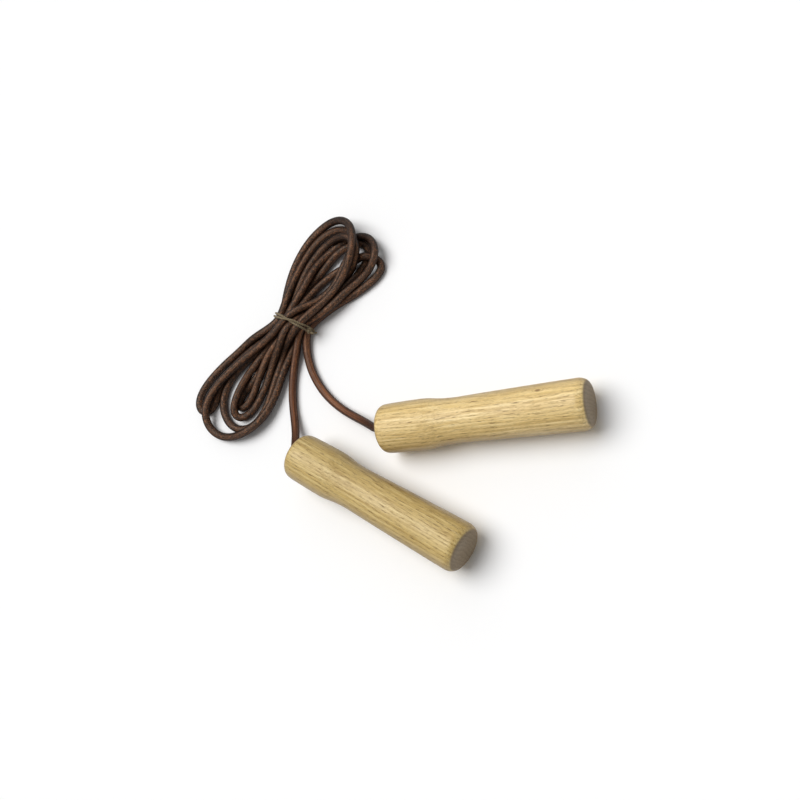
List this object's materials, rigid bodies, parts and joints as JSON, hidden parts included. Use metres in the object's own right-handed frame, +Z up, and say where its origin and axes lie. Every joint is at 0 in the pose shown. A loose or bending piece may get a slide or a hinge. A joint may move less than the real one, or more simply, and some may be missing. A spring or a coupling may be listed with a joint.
{
  "type": "jump rope",
  "caption": "Leather-cord jump rope with turned wooden handles on ball bearings, coiled and tied round the middle.",
  "frame": {"origin": "middle of the footprint, on the surface the rope lies on", "axes": "+Z up from that surface; +Y from the handles' butts towards the coil; +X along the coil"},
  "size_m": [0.1954, 0.3066, 0.0354],
  "materials": {
    "leather": "oiled, satin",
    "twine": "waxed, matte",
    "wood": "clear satin lacquer",
    "bearing_steel": "ground",
    "zinc_plate": "zinc plated",
    "brass": "pressed, bright"
  },
  "bodies": {
    "coil": {"rope_cord": "leather", "tie_cord": "twine", "bearing_a_inner_ring": "bearing_steel", "eyelet_a": "brass", "stop_washer_a": "zinc_plate", "cord_ferrule_a": "zinc_plate", "bearing_b_inner_ring": "bearing_steel", "eyelet_b": "brass", "stop_washer_b": "zinc_plate", "cord_ferrule_b": "zinc_plate"},
    "grip_a": {"handle_a": "wood", "bearing_a_outer_ring": "bearing_steel", "front_cover_a": "zinc_plate"},
    "cage_a": {"bearing_a_cage": "brass", "bearing_a_ball_1": "bearing_steel", "bearing_a_ball_2": "bearing_steel", "bearing_a_ball_3": "bearing_steel", "bearing_a_ball_4": "bearing_steel", "bearing_a_ball_5": "bearing_steel", "bearing_a_ball_6": "bearing_steel", "bearing_a_ball_7": "bearing_steel"},
    "grip_b": {"handle_b": "wood", "bearing_b_outer_ring": "bearing_steel", "front_cover_b": "zinc_plate"},
    "cage_b": {"bearing_b_cage": "brass", "bearing_b_ball_1": "bearing_steel", "bearing_b_ball_2": "bearing_steel", "bearing_b_ball_3": "bearing_steel", "bearing_b_ball_4": "bearing_steel", "bearing_b_ball_5": "bearing_steel", "bearing_b_ball_6": "bearing_steel", "bearing_b_ball_7": "bearing_steel"}
  },
  "joints": [
    {"name": "handle_a_spin", "type": "hinge", "parent": "coil", "child": "grip_a", "pos_m": [-0.07561, 0.03472, 0.01779], "axis": [0.0031, -1, -0.0019], "continuous": true},
    {"name": "cage_a_orbit", "type": "hinge", "parent": "coil", "child": "cage_a", "pos_m": [-0.07561, 0.03472, 0.01779], "axis": [0.0031, -1, -0.0019], "continuous": true},
    {"name": "handle_b_spin", "type": "hinge", "parent": "coil", "child": "grip_b", "pos_m": [-0.03018, -0.01831, 0.01779], "axis": [0.5211, -0.8535, -0.0019], "continuous": true},
    {"name": "cage_b_orbit", "type": "hinge", "parent": "coil", "child": "cage_b", "pos_m": [-0.03018, -0.01831, 0.01779], "axis": [0.5211, -0.8535, -0.0019], "continuous": true}
  ],
  "couplings": [
    {"joint": "cage_a_orbit", "follows": "handle_a_spin", "ratio": 0.632},
    {"joint": "cage_b_orbit", "follows": "handle_b_spin", "ratio": 0.632}
  ]
}
